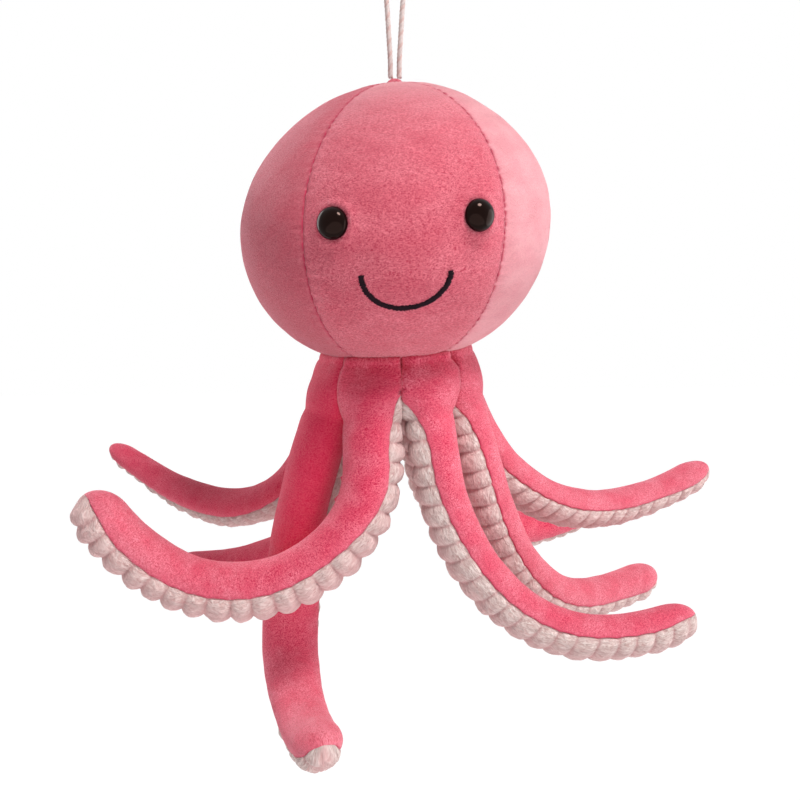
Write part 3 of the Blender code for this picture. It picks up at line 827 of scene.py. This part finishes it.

# What sets each tentacle apart. reach: the share from which the velour reaches round, then its half angle near the
# tip and at it.
# archTurns: how far each edge draws back by the arch. Then the light and shade painted along the tentacle, as shares
# and values:
# a positive value paints pale sheen where light falls, a negative one deep crimson where shade falls; the rib strips
# get a share of painted pink shade underneath.
plainLook = {"ribHeight": 1.0, "ribSlant": 0.08, "ribPaintedShade": 0.0, "archTurns": (0.0, 0.0),
             "reach": (0.88, 98.0, 90.0), "thin": 0.0}
limbLooks = {
    "front_left": {"ribHeight": 1.4, "ribPaintedShade": 0.38, "archTurns": (24.0, 0.0), "thin": 0.08,
                   "paintedLightAndShade": ((0.0, -0.15), (0.3, -0.10), (0.7, 0.08), (1.0, 0.15))},
    "front_right": {"ribHeight": 0.8, "archTurns": (0.0, 15.0), "thin": 0.06,
                    "paintedLightAndShade": ((0.0, 0.0), (0.5, 0.05), (1.0, 0.05))},
    "right_front": {"ribPaintedShade": 0.25, "reach": (0.84, 124.0, 120.0), "thin": 0.12,
                    "paintedLightAndShade": ((0.0, 0.05), (0.4, 0.10), (1.0, 0.20))},
    "right_back": {"ribSlant": 0.55, "ribPaintedShade": 0.30, "reach": (0.80, 126.0, 122.0), "thin": 0.16,
                   "paintedLightAndShade": ((0.0, 0.05), (0.3, 0.10), (1.0, 0.18))},
    "back_right": {"reach": (0.40, 142.0, 125.0), "paintedLightAndShade": ((0.0, -0.1), (1.0, -0.1))},
    "back_left": {"paintedLightAndShade": ((0.0, -0.4), (1.0, -0.4))},
    "left_back": {"ribSlant": -0.35, "ribPaintedShade": 0.30, "reach": (0.60, 146.0, 138.0), "thin": 0.34,
                  "paintedLightAndShade": ((0.0, -0.4), (0.6, -0.5), (1.0, -0.2))},
    "left_front": {"reach": (0.86, 112.0, 98.0), "thin": 0.16,
                   "paintedLightAndShade": ((0.0, -0.4), (0.12, -0.75), (0.45, -0.65), (0.62, 0.0), (1.0, 0.20))},
}


def headings(bends):
    ways, uppers = [], []
    for azimuth, elevation, roll in bends:
        rise, turn = math.radians(elevation), math.radians(roll)
        way = outward(azimuth) * math.cos(rise) + np.array([0.0, 0.0, math.sin(rise)])
        level = outward(azimuth) * -math.sin(rise) + np.array([0.0, 0.0, math.cos(rise)])
        ways.append(way)
        uppers.append(level * math.cos(turn) + np.cross(way, level) * math.sin(turn))
    return np.array(ways), np.array(uppers)


def limbFrames(azimuth, bends, shares):
    ways, uppers = headings(bends)
    fine = limb["routeSteps"]
    middles = (np.arange(fine) + 0.5) / fine
    steps = unit(throughPoints(ways, middles)) * (limb["length"] / fine)
    start = headCentre + outward(azimuth) * limb["rootRing"]
    start[2] = neckHeight - limb["rootSink"]
    track = np.concatenate([start[None], start + np.cumsum(steps, axis=0)])
    ends = np.arange(fine + 1) / fine
    centre = np.stack([np.interp(shares, ends, track[:, k]) for k in range(3)], -1)
    bent = ease(shares * limb["length"] / limb["joinLength"])[:, None]
    way = unit(throughPoints(ways, shares))
    way = unit(np.array([0.0, 0.0, -1.0]) * (1.0 - bent) + way * bent)
    upper = outward(azimuth) * (1.0 - bent) + throughPoints(uppers, shares) * bent
    upper = unit(upper - way * (upper * way).sum(-1, keepdims=True))
    return centre, way, upper, np.cross(way, upper)


def limbRadius(shares):
    body = limb["radius"] * (1.0 - limb["endTaper"] * shares)
    past = np.clip((shares - limb["tipStart"]) / (1.0 - limb["tipStart"]), 0.0, 1.0)
    return body * np.sqrt(np.maximum(1.0 - past ** 2, 0.0))


# How far the skin lies from the route: a round section, held within the tentacle's wedge of the neck near
# the root
def limbReach(shares, centre, direction, azimuth, fullness, angles, inset):
    length = shares * limb["length"]
    oval = 1.0 / np.hypot(np.cos(angles) / limb["upShare"], np.sin(angles) / limb["acrossShare"])
    radius = limbRadius(shares) * fullness * oval
    joined = ease(length / limb["joinLength"])
    parted = ease((length - limb["joinLength"]) / limb["partLength"])
    own, across = outward(azimuth), outward(azimuth + 90.0)
    offset = centre - headCentre
    x, y = offset @ own, offset @ across
    wayX, wayY = direction @ own, direction @ across
    flat = wayX ** 2 + wayY ** 2
    b = x * wayX + y * wayY
    inside = np.maximum(b * b + flat * (head["neckRadius"] ** 2 - x * x - y * y), 0.0)
    corner = np.where(flat > 0.25, (np.sqrt(inside) - b) / np.maximum(flat, 0.05), radius)
    radius = radius * joined + np.minimum(corner, radius * limb["cornerShare"]) * (1.0 - joined)
    radius = radius + limb["rootBulge"] * np.sin(math.pi * np.clip(length / limb["bulgeLength"], 0.0, 1.0))
    depth = np.maximum(inset, 0.0)
    turn = math.radians(limb["halfAngle"])
    free = 1.0
    walls = [radius - inset]
    for side in (-1.0, 1.0):
        lean = side * math.cos(turn) * wayY - math.sin(turn) * wayX
        room = math.sin(turn) * x - side * math.cos(turn) * y
        room = room + limb["radius"] * parted + limb["closeWalls"] - depth
        walls.append(np.where((lean > 0.01) & (parted < 1.0), room / np.maximum(lean, 0.01), free))
    room = x - limb["coreRadius"] * (1.0 - joined) - depth
    walls.append(np.where((wayX < -0.01) & (joined < 1.0), room / np.maximum(-wayX, 0.01), free))
    return np.maximum(softLeast(walls, limb["soften"]), 0.0)


def tipShares(rows, tipRows):
    body = np.linspace(0.0, limb["tipStart"], rows)
    turn = np.linspace(0.0, math.pi / 2.0, tipRows + 1)[1:]
    return np.concatenate([body, limb["tipStart"] + (1.0 - limb["tipStart"]) * np.sin(turn)])


def limbGrid(frames, shares, angles, azimuth, fullness, inset):
    centre, _, upper, across = frames
    turn = np.radians(angles)
    direction = upper[:, None] * np.cos(turn)[..., None] + across[:, None] * np.sin(turn)[..., None]
    distance = limbReach(shares[:, None], centre[:, None], direction, azimuth, fullness, turn, inset)
    return centre[:, None] + direction * distance[..., None], direction


def limbFolds(grid, direction, shares):
    return withFolds(grid, direction, np.minimum(limb["foldDepth"], limbRadius(shares) * 0.5)[:, None])


def ribLobe(shares, slant=0.0):
    return np.abs(np.sin(math.pi * (limb["ribs"] * shares + slant))) ** 0.66


def thinned(look, fullness, shares):
    return fullness * (1.0 - look["thin"] * ease((shares - 0.5) / 0.5))[:, None]


# Velour panels
topLook = {
    "rows": 170,
    "tipRows": 16,
    "columns": 34,
    "half": 110.0,
    "poleShare": 0.97,
    "edgeWobble": 3.5,
    "archStart": 0.0105,
    "archRamp": 0.006,
    "archEnd": 0.0340,
    "archFade": 0.030,
    "archWiden": 0.7,
    "archWideEnd": 0.018,
    "archWideFade": 0.012,
    "seamDepth": 0.0004,
    "seamSpan": 0.0035,
    "creaseDepth": 0.0001,
    "creaseSpan": 0.0009,
    "rippleDepth": 0.00045,
    "rippleSpan": 0.0045,
    "unevenDepth": 0.00055,
    "unevenSize": 0.026,
    "fineDepth": 0.00018,
    "fineSize": 0.008,
    "tuckDepth": 0.0005,
    "tuckSpan": 0.0030,
    "gatherDepth": 0.00022,
    "gatherSpan": 0.008,
    "tipFade": 0.03,
    "shoulderRows": 6,
    "shoulderDepth": 0.0025,
    "shoulderRise": 0.0042,
    "shoulderTurn": 115.0,
    "shoulderUvStep": 0.0009,
}


# Where the velour ends on each side, as angles: it draws back between the two front tentacles
def panelEnds(look, shares):
    top = topLook
    along = shares * limb["length"]
    arch = ease((along - top["archStart"]) / top["archRamp"])
    arch = arch * (1.0 - ease((along - top["archEnd"]) / top["archFade"]))
    plain = top["half"] + top["edgeWobble"] * (0.5 - ribLobe(shares)) * ease(along / limb["joinLength"])
    start, nearTip, atPole = look["reach"]
    late = ease((shares - start) / (top["poleShare"] - start))
    plain = plain * (1.0 - late) + nearTip * late
    last = ease((shares - top["poleShare"]) / (1.0 - top["poleShare"]))
    plain = plain * (1.0 - last) + atPole * last
    wide = 1.0 + top["archWiden"] * (1.0 - ease((along - top["archWideEnd"]) / top["archWideFade"]))
    low, high = (plain - turn * arch * wide for turn in look["archTurns"])
    return low[:, None], high[:, None]


# Rows that roll in over the root, so that the velour meets the head with a rounded shoulder
def shoulder(grid):
    inward = unit((headCentre - grid[0]) * np.array([1.0, 1.0, 0.0]))
    rows = []
    for k in range(topLook["shoulderRows"], 0, -1):
        turn = math.radians(topLook["shoulderTurn"]) * k / topLook["shoulderRows"]
        up = np.array([0.0, 0.0, topLook["shoulderRise"] * math.sin(turn)])
        rows.append(grid[0] + inward * topLook["shoulderDepth"] * (1.0 - math.cos(turn)) + up)
    return np.stack(rows)


def makeTopPanel(name, look, seed):
    azimuth, fullness, bends = routes[name]
    top = topLook
    shares = tipShares(top["rows"], top["tipRows"])
    fullness = thinned(look, fullness, shares)
    frames = limbFrames(azimuth, bends, shares)
    u = crowded(top["columns"], limb["crowding"])[None, :]
    low, high = panelEnds(look, shares)
    angles = np.where(u < 0.0, u * low, u * high)
    along = (shares * limb["length"])[:, None]
    edge = np.radians(np.where(u < 0.0, low, high) - np.abs(angles)) * limb["radius"]
    dip = top["creaseDepth"] * np.exp(-edge / top["creaseSpan"])
    dip = dip + top["seamDepth"] * np.exp(-(edge / top["seamSpan"]) ** 2)
    ripple = top["rippleDepth"] * (ribLobe(shares)[:, None] - 0.5) * np.exp(-edge / top["rippleSpan"])
    plain, direction = limbGrid(frames, shares, angles, azimuth, fullness, 0.0)
    uneven = top["unevenDepth"] * softNoise(plain, top["unevenSize"], seed)
    uneven = uneven + top["fineDepth"] * softNoise(plain, top["fineSize"], seed)
    tuck = top["tuckDepth"] * np.exp(-along / top["tuckSpan"])
    gather = top["gatherDepth"] * np.sin(np.radians(angles) * 9.0 + seed) * np.exp(-along / top["gatherSpan"])
    tipFade = ease((1.0 - shares) / top["tipFade"])[:, None]
    inset = (dip - ripple - uneven - gather) * tipFade + tuck
    grid, direction = limbGrid(frames, shares, angles, azimuth, fullness, inset)
    grid = limbFolds(grid, direction, shares)
    grid = np.concatenate([shoulder(grid), grid], 0)
    rows = top["shoulderRows"]
    pad = ((rows, 0), (1, 1))
    distance = np.pad(edge, pad, mode="edge")
    distance[:, (0, -1)] = 0.0
    distance[0] = 0.0
    across = np.pad(np.radians(angles) * limbRadius(shares)[:, None], pad, mode="edge")
    lengths = np.pad(np.broadcast_to(along, angles.shape), pad, mode="edge")
    lengths[:rows] -= top["shoulderUvStep"] * np.arange(rows, 0, -1)[:, None]
    uv = np.stack([across + seed * 0.31, lengths + seed * 0.17], -1)
    # Light and shade painted along the tentacle
    paintedAlong = np.interp(shares, *zip(*look["paintedLightAndShade"]))[:, None] + 0.0 * angles
    fields = {"seam": distance, "paintedLightAndShade": np.pad(paintedAlong, pad, mode="edge")}
    piece = makeGrid(name + "_velour", tilted(grid), uv, fields, materials["tentacleVelour"], turned=True)
    return piece, frames, shares


# Rib strips
ribLook = {
    "rowsPerRib": 16,
    "tipRows": 24,
    "columns": 46,
    "rise": 0.0016,
    "riseVaries": 0.35,
    "sink": 0.0008,
    "drift": 0.35,
    "lumpDepth": 0.00035,
    "lumpSize": 0.0045,
    "fluff": 0.00045,
    "fluffWidth": 0.0011,
    "fluffLength": 0.0034,
    "creaseDepth": 0.0001,
    "creaseSpan": 0.0009,
    "tuckDepth": 0.0014,
    "tuckSpan": 0.0015,
    "closeShare": 0.22,
    "tipFade": 0.02,
    "grooveShadeLobe": 0.36,
    "edgeShadeSpan": 0.0010,
}


def makeRibStrip(name, look, seed):
    azimuth, fullness, bends = routes[name]
    strip = ribLook
    rows = int(round(limb["ribs"] * limb["tipStart"] * strip["rowsPerRib"])) + 1
    shares = tipShares(rows, strip["tipRows"])
    fullness = thinned(look, fullness, shares)
    frames = limbFrames(azimuth, bends, shares)
    u = crowded(strip["columns"], limb["crowding"])[None, :]
    low, high = panelEnds(look, shares)
    halfStrip = (360.0 - low - high) / 2.0
    angles = (360.0 - low + high) / 2.0 + halfStrip * u
    along = (shares * limb["length"])[:, None]
    still = 0.0 * shares
    drift = softNoise(np.stack([shares * limb["ribs"] * 0.45, still + seed, still], -1), 1.0)[:, None]
    jitter = softNoise(np.stack([still, shares * limb["ribs"] * 0.9, still + seed], -1), 1.0)[:, None]
    lobe = ribLobe(shares[:, None], look["ribSlant"] * u + strip["drift"] * drift)
    rise = strip["rise"] * look["ribHeight"] * ease(along / limb["joinLength"])
    rise = rise * (1.0 + strip["riseVaries"] * jitter)
    height = (rise + strip["sink"]) * lobe * (1.0 - np.abs(u) ** 5) - strip["sink"]
    plain, direction = limbGrid(frames, shares, angles, azimuth, fullness, 0.0)
    height = height + strip["lumpDepth"] * softNoise(plain, strip["lumpSize"], seed) * lobe
    across = np.radians(angles - 180.0) * limbRadius(shares)[:, None]
    fibres = np.stack([across / strip["fluffWidth"], along / strip["fluffLength"] + 0.0 * angles,
                       0.0 * angles + seed], -1)
    height = height + strip["fluff"] * softNoise(fibres, 1.0) * (0.4 + 0.6 * lobe)
    edge = np.radians(halfStrip) * limb["radius"] * (1.0 - np.abs(u))
    crease = strip["creaseDepth"] * np.exp(-edge / strip["creaseSpan"])
    tuck = strip["tuckDepth"] * np.exp(-along / strip["tuckSpan"])
    inset = (crease - height) * ease((1.0 - shares) / strip["tipFade"])[:, None] + tuck
    grid, direction = limbGrid(frames, shares, angles, azimuth, fullness, inset)
    grid = limbFolds(grid, direction, shares)
    close = grid[0] + (frames[0][0] - grid[0]) * strip["closeShare"]
    grid = np.concatenate([close[None], grid], 0)
    # Painted shade: darker in the grooves between ribs and along the strip's edges
    grooveShade = np.exp(-(lobe / strip["grooveShadeLobe"]) ** 2) * ease(along / limb["joinLength"])
    grooveShade = np.clip(grooveShade + 0.25 * np.exp(-edge / strip["edgeShadeSpan"]), 0.0, 1.0)
    # Painted shade, pinker along the middle of the underside, and more on tentacles that lie in shade
    under = np.broadcast_to(1.0 - np.abs(u) + look["ribPaintedShade"], angles.shape)
    pad = ((1, 0), (1, 1))
    lengths = np.pad(np.broadcast_to(along, angles.shape), pad, mode="edge")
    uv = np.stack([np.pad(across, pad, mode="edge") + seed * 0.23, lengths * 0.35 + seed * 0.19], -1)
    fields = {"grooveShade": np.pad(grooveShade, pad, mode="edge"), "under": np.pad(under, pad, mode="edge")}
    return makeGrid(name + "_ribs", tilted(grid), uv, fields, materials["plush"], turned=True)


# From the neck to where the tentacle swings as one
def blendSpan(frames, shares):
    centre = tilted(frames[0])
    start = centre[0]
    near = centre[np.searchsorted(shares, limb["blendNear"])]
    way = unit(near - start) + limb["blendLean"] * unit(centre[-1] - start)
    return start, start + unit(way) * limb["joinLength"]


def makeTentacle(name, seed):
    look = {**plainLook, **limbLooks[name]}
    top, frames, shares = makeTopPanel(name, look, seed)
    ribs = makeRibStrip(name, look, seed)
    start, end = blendSpan(frames, shares)
    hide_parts(name + "_top_panel", name + "_stuffing")
    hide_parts(name + "_rib_strip")
    for piece in (top, ribs):
        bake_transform(piece)


for index, limbName in enumerate(routes):
    makeTentacle(limbName, index + 1.0)
print("tentacles made")

# Underside patch between the roots: a dome, then its wall up to the neck
patch = {"radius": 0.0107, "depth": 0.0200, "dome": 0.0050, "domeShare": 0.625, "above": 0.0004, "fluff": 0.0004,
         "fluffSize": 0.003, "rings": 26, "segments": 48}


def makePatch():
    vertices = []
    for r in range(patch["rings"]):
        share = (r + 1) / patch["rings"]
        radius = patch["radius"] * min(share / patch["domeShare"], 1.0)
        if share <= patch["domeShare"]:
            sink = patch["depth"] + patch["dome"] * math.sqrt(max(1.0 - (radius / patch["radius"]) ** 2, 0.0))
        else:
            wallShare = (share - patch["domeShare"]) / (1.0 - patch["domeShare"])
            sink = patch["depth"] * (1.0 - wallShare) + patch["above"]
        for k in range(patch["segments"]):
            turn = 2.0 * math.pi * k / patch["segments"]
            place = headCentre + np.array([radius * math.cos(turn), radius * math.sin(turn), 0.0])
            place[2] = neckHeight - sink
            fluff = patch["fluff"] * noise.noise(Vector(place) / patch["fluffSize"])
            vertices.append(tilted(place + np.array([0.0, 0.0, fluff])))
    faces = closedFaces(patch["rings"], patch["segments"])
    piece = makeSolid("underside_patch_plush", vertices, faces, materials["plush"])
    addFlatUv(piece, 1.0, 5.0)
    addField(piece, "grooveShade", [0.0] * len(vertices))
    addField(piece, "under", [0.3] * len(vertices))
    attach(piece, "head")
    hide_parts("underside_patch")


makePatch()

# Inner pieces keep their solids and get their finishes
innerFinishes = {"loop_knot": "cord", "left_eye_washer": "washer", "right_eye_washer": "washer"}
for node, finish in innerFinishes.items():
    piece = bpy.data.objects[node]
    piece.data.materials.clear()
    piece.data.materials.append(materials[finish])

# Floor and light
stageSetup = {"floorHeight": -0.95, "floorSize": 8.0, "floorGlow": 1.07, "glowShare": 0.93, "worldStrength": 0.17,
              "lampsAim": (0.0, 0.0, -0.2)}
lamps = {
    "top": {"place": (0.34, -0.47, 0.79), "size": 0.36, "power": 13.4, "colour": (1.0, 0.98, 0.96)},
    "side": {"place": (1.05, 0.02, -0.30), "size": 1.2, "power": 8.3, "colour": (1.0, 0.98, 0.97)},
    "front": {"place": (-0.05, -0.68, -0.74), "size": 2.2, "power": 12.5, "colour": (1.0, 0.98, 0.98)},
    "back": {"place": (-0.85, 0.80, 0.05), "size": 1.2, "power": 12.0, "colour": (1.0, 0.98, 0.98)},
}


# 1 where the camera sees the surface straight, in a reflection or through something, 0 for the light it gives
def seenNode(tree):
    path = tree.nodes.new("ShaderNodeLightPath")
    seen = mathNode(tree, "MAXIMUM", path.outputs["Is Camera Ray"], path.outputs["Is Glossy Ray"])
    return mathNode(tree, "MAXIMUM", seen, path.outputs["Is Transmission Ray"])


def mixShaders(tree, share, first, second, out):
    mix = tree.nodes.new("ShaderNodeMixShader")
    tree.links.new(share, mix.inputs[0])
    tree.links.new(first.outputs[0], mix.inputs[1])
    tree.links.new(second.outputs[0], mix.inputs[2])
    tree.links.new(mix.outputs[0], tree.nodes[out].inputs["Surface"])


def makeFloor():
    size = stageSetup["floorSize"] / 2.0
    corners = [(-size, -size, 0.0), (size, -size, 0.0), (size, size, 0.0), (-size, size, 0.0)]
    mesh = bpy.data.meshes.new("floor")
    mesh.from_pydata(corners, [], [(0, 1, 2, 3)])
    floor = bpy.data.objects.new("floor", mesh)
    floor.location.z = stageSetup["floorHeight"]
    bpy.context.collection.objects.link(floor)
    material, tree, shader = newMaterial("Floor")
    shader.inputs["Base Color"].default_value = (0.9, 0.9, 0.9, 1.0)
    shader.inputs["Roughness"].default_value = 0.9
    glow = tree.nodes.new("ShaderNodeEmission")
    glow.inputs["Strength"].default_value = stageSetup["floorGlow"]
    share = mathNode(tree, "MULTIPLY", seenNode(tree), stageSetup["glowShare"])
    mixShaders(tree, share, shader, glow, "Material Output")
    mesh.materials.append(material)


def makeWorld():
    world = bpy.data.worlds.new("Studio")
    scene.world = world
    world.use_nodes = True
    tree = world.node_tree
    dim, white = tree.nodes["Background"], tree.nodes.new("ShaderNodeBackground")
    for background, strength in ((dim, stageSetup["worldStrength"]), (white, 1.0)):
        background.inputs["Color"].default_value = (1.0, 1.0, 1.0, 1.0)
        background.inputs["Strength"].default_value = strength
    mixShaders(tree, seenNode(tree), dim, white, "World Output")


def makeLamps():
    aim = Vector(stageSetup["lampsAim"])
    for name, lamp in lamps.items():
        data = bpy.data.lights.new(name, "AREA")
        data.shape = "DISK"
        data.size = lamp["size"]
        data.energy = lamp["power"]
        data.color = lamp["colour"]
        light = bpy.data.objects.new(name, data)
        light.location = lamp["place"]
        light.rotation_euler = (aim - Vector(lamp["place"])).to_track_quat("-Z", "Y").to_euler()
        bpy.context.collection.objects.link(light)


makeFloor()
makeWorld()
makeLamps()
print("stage made")
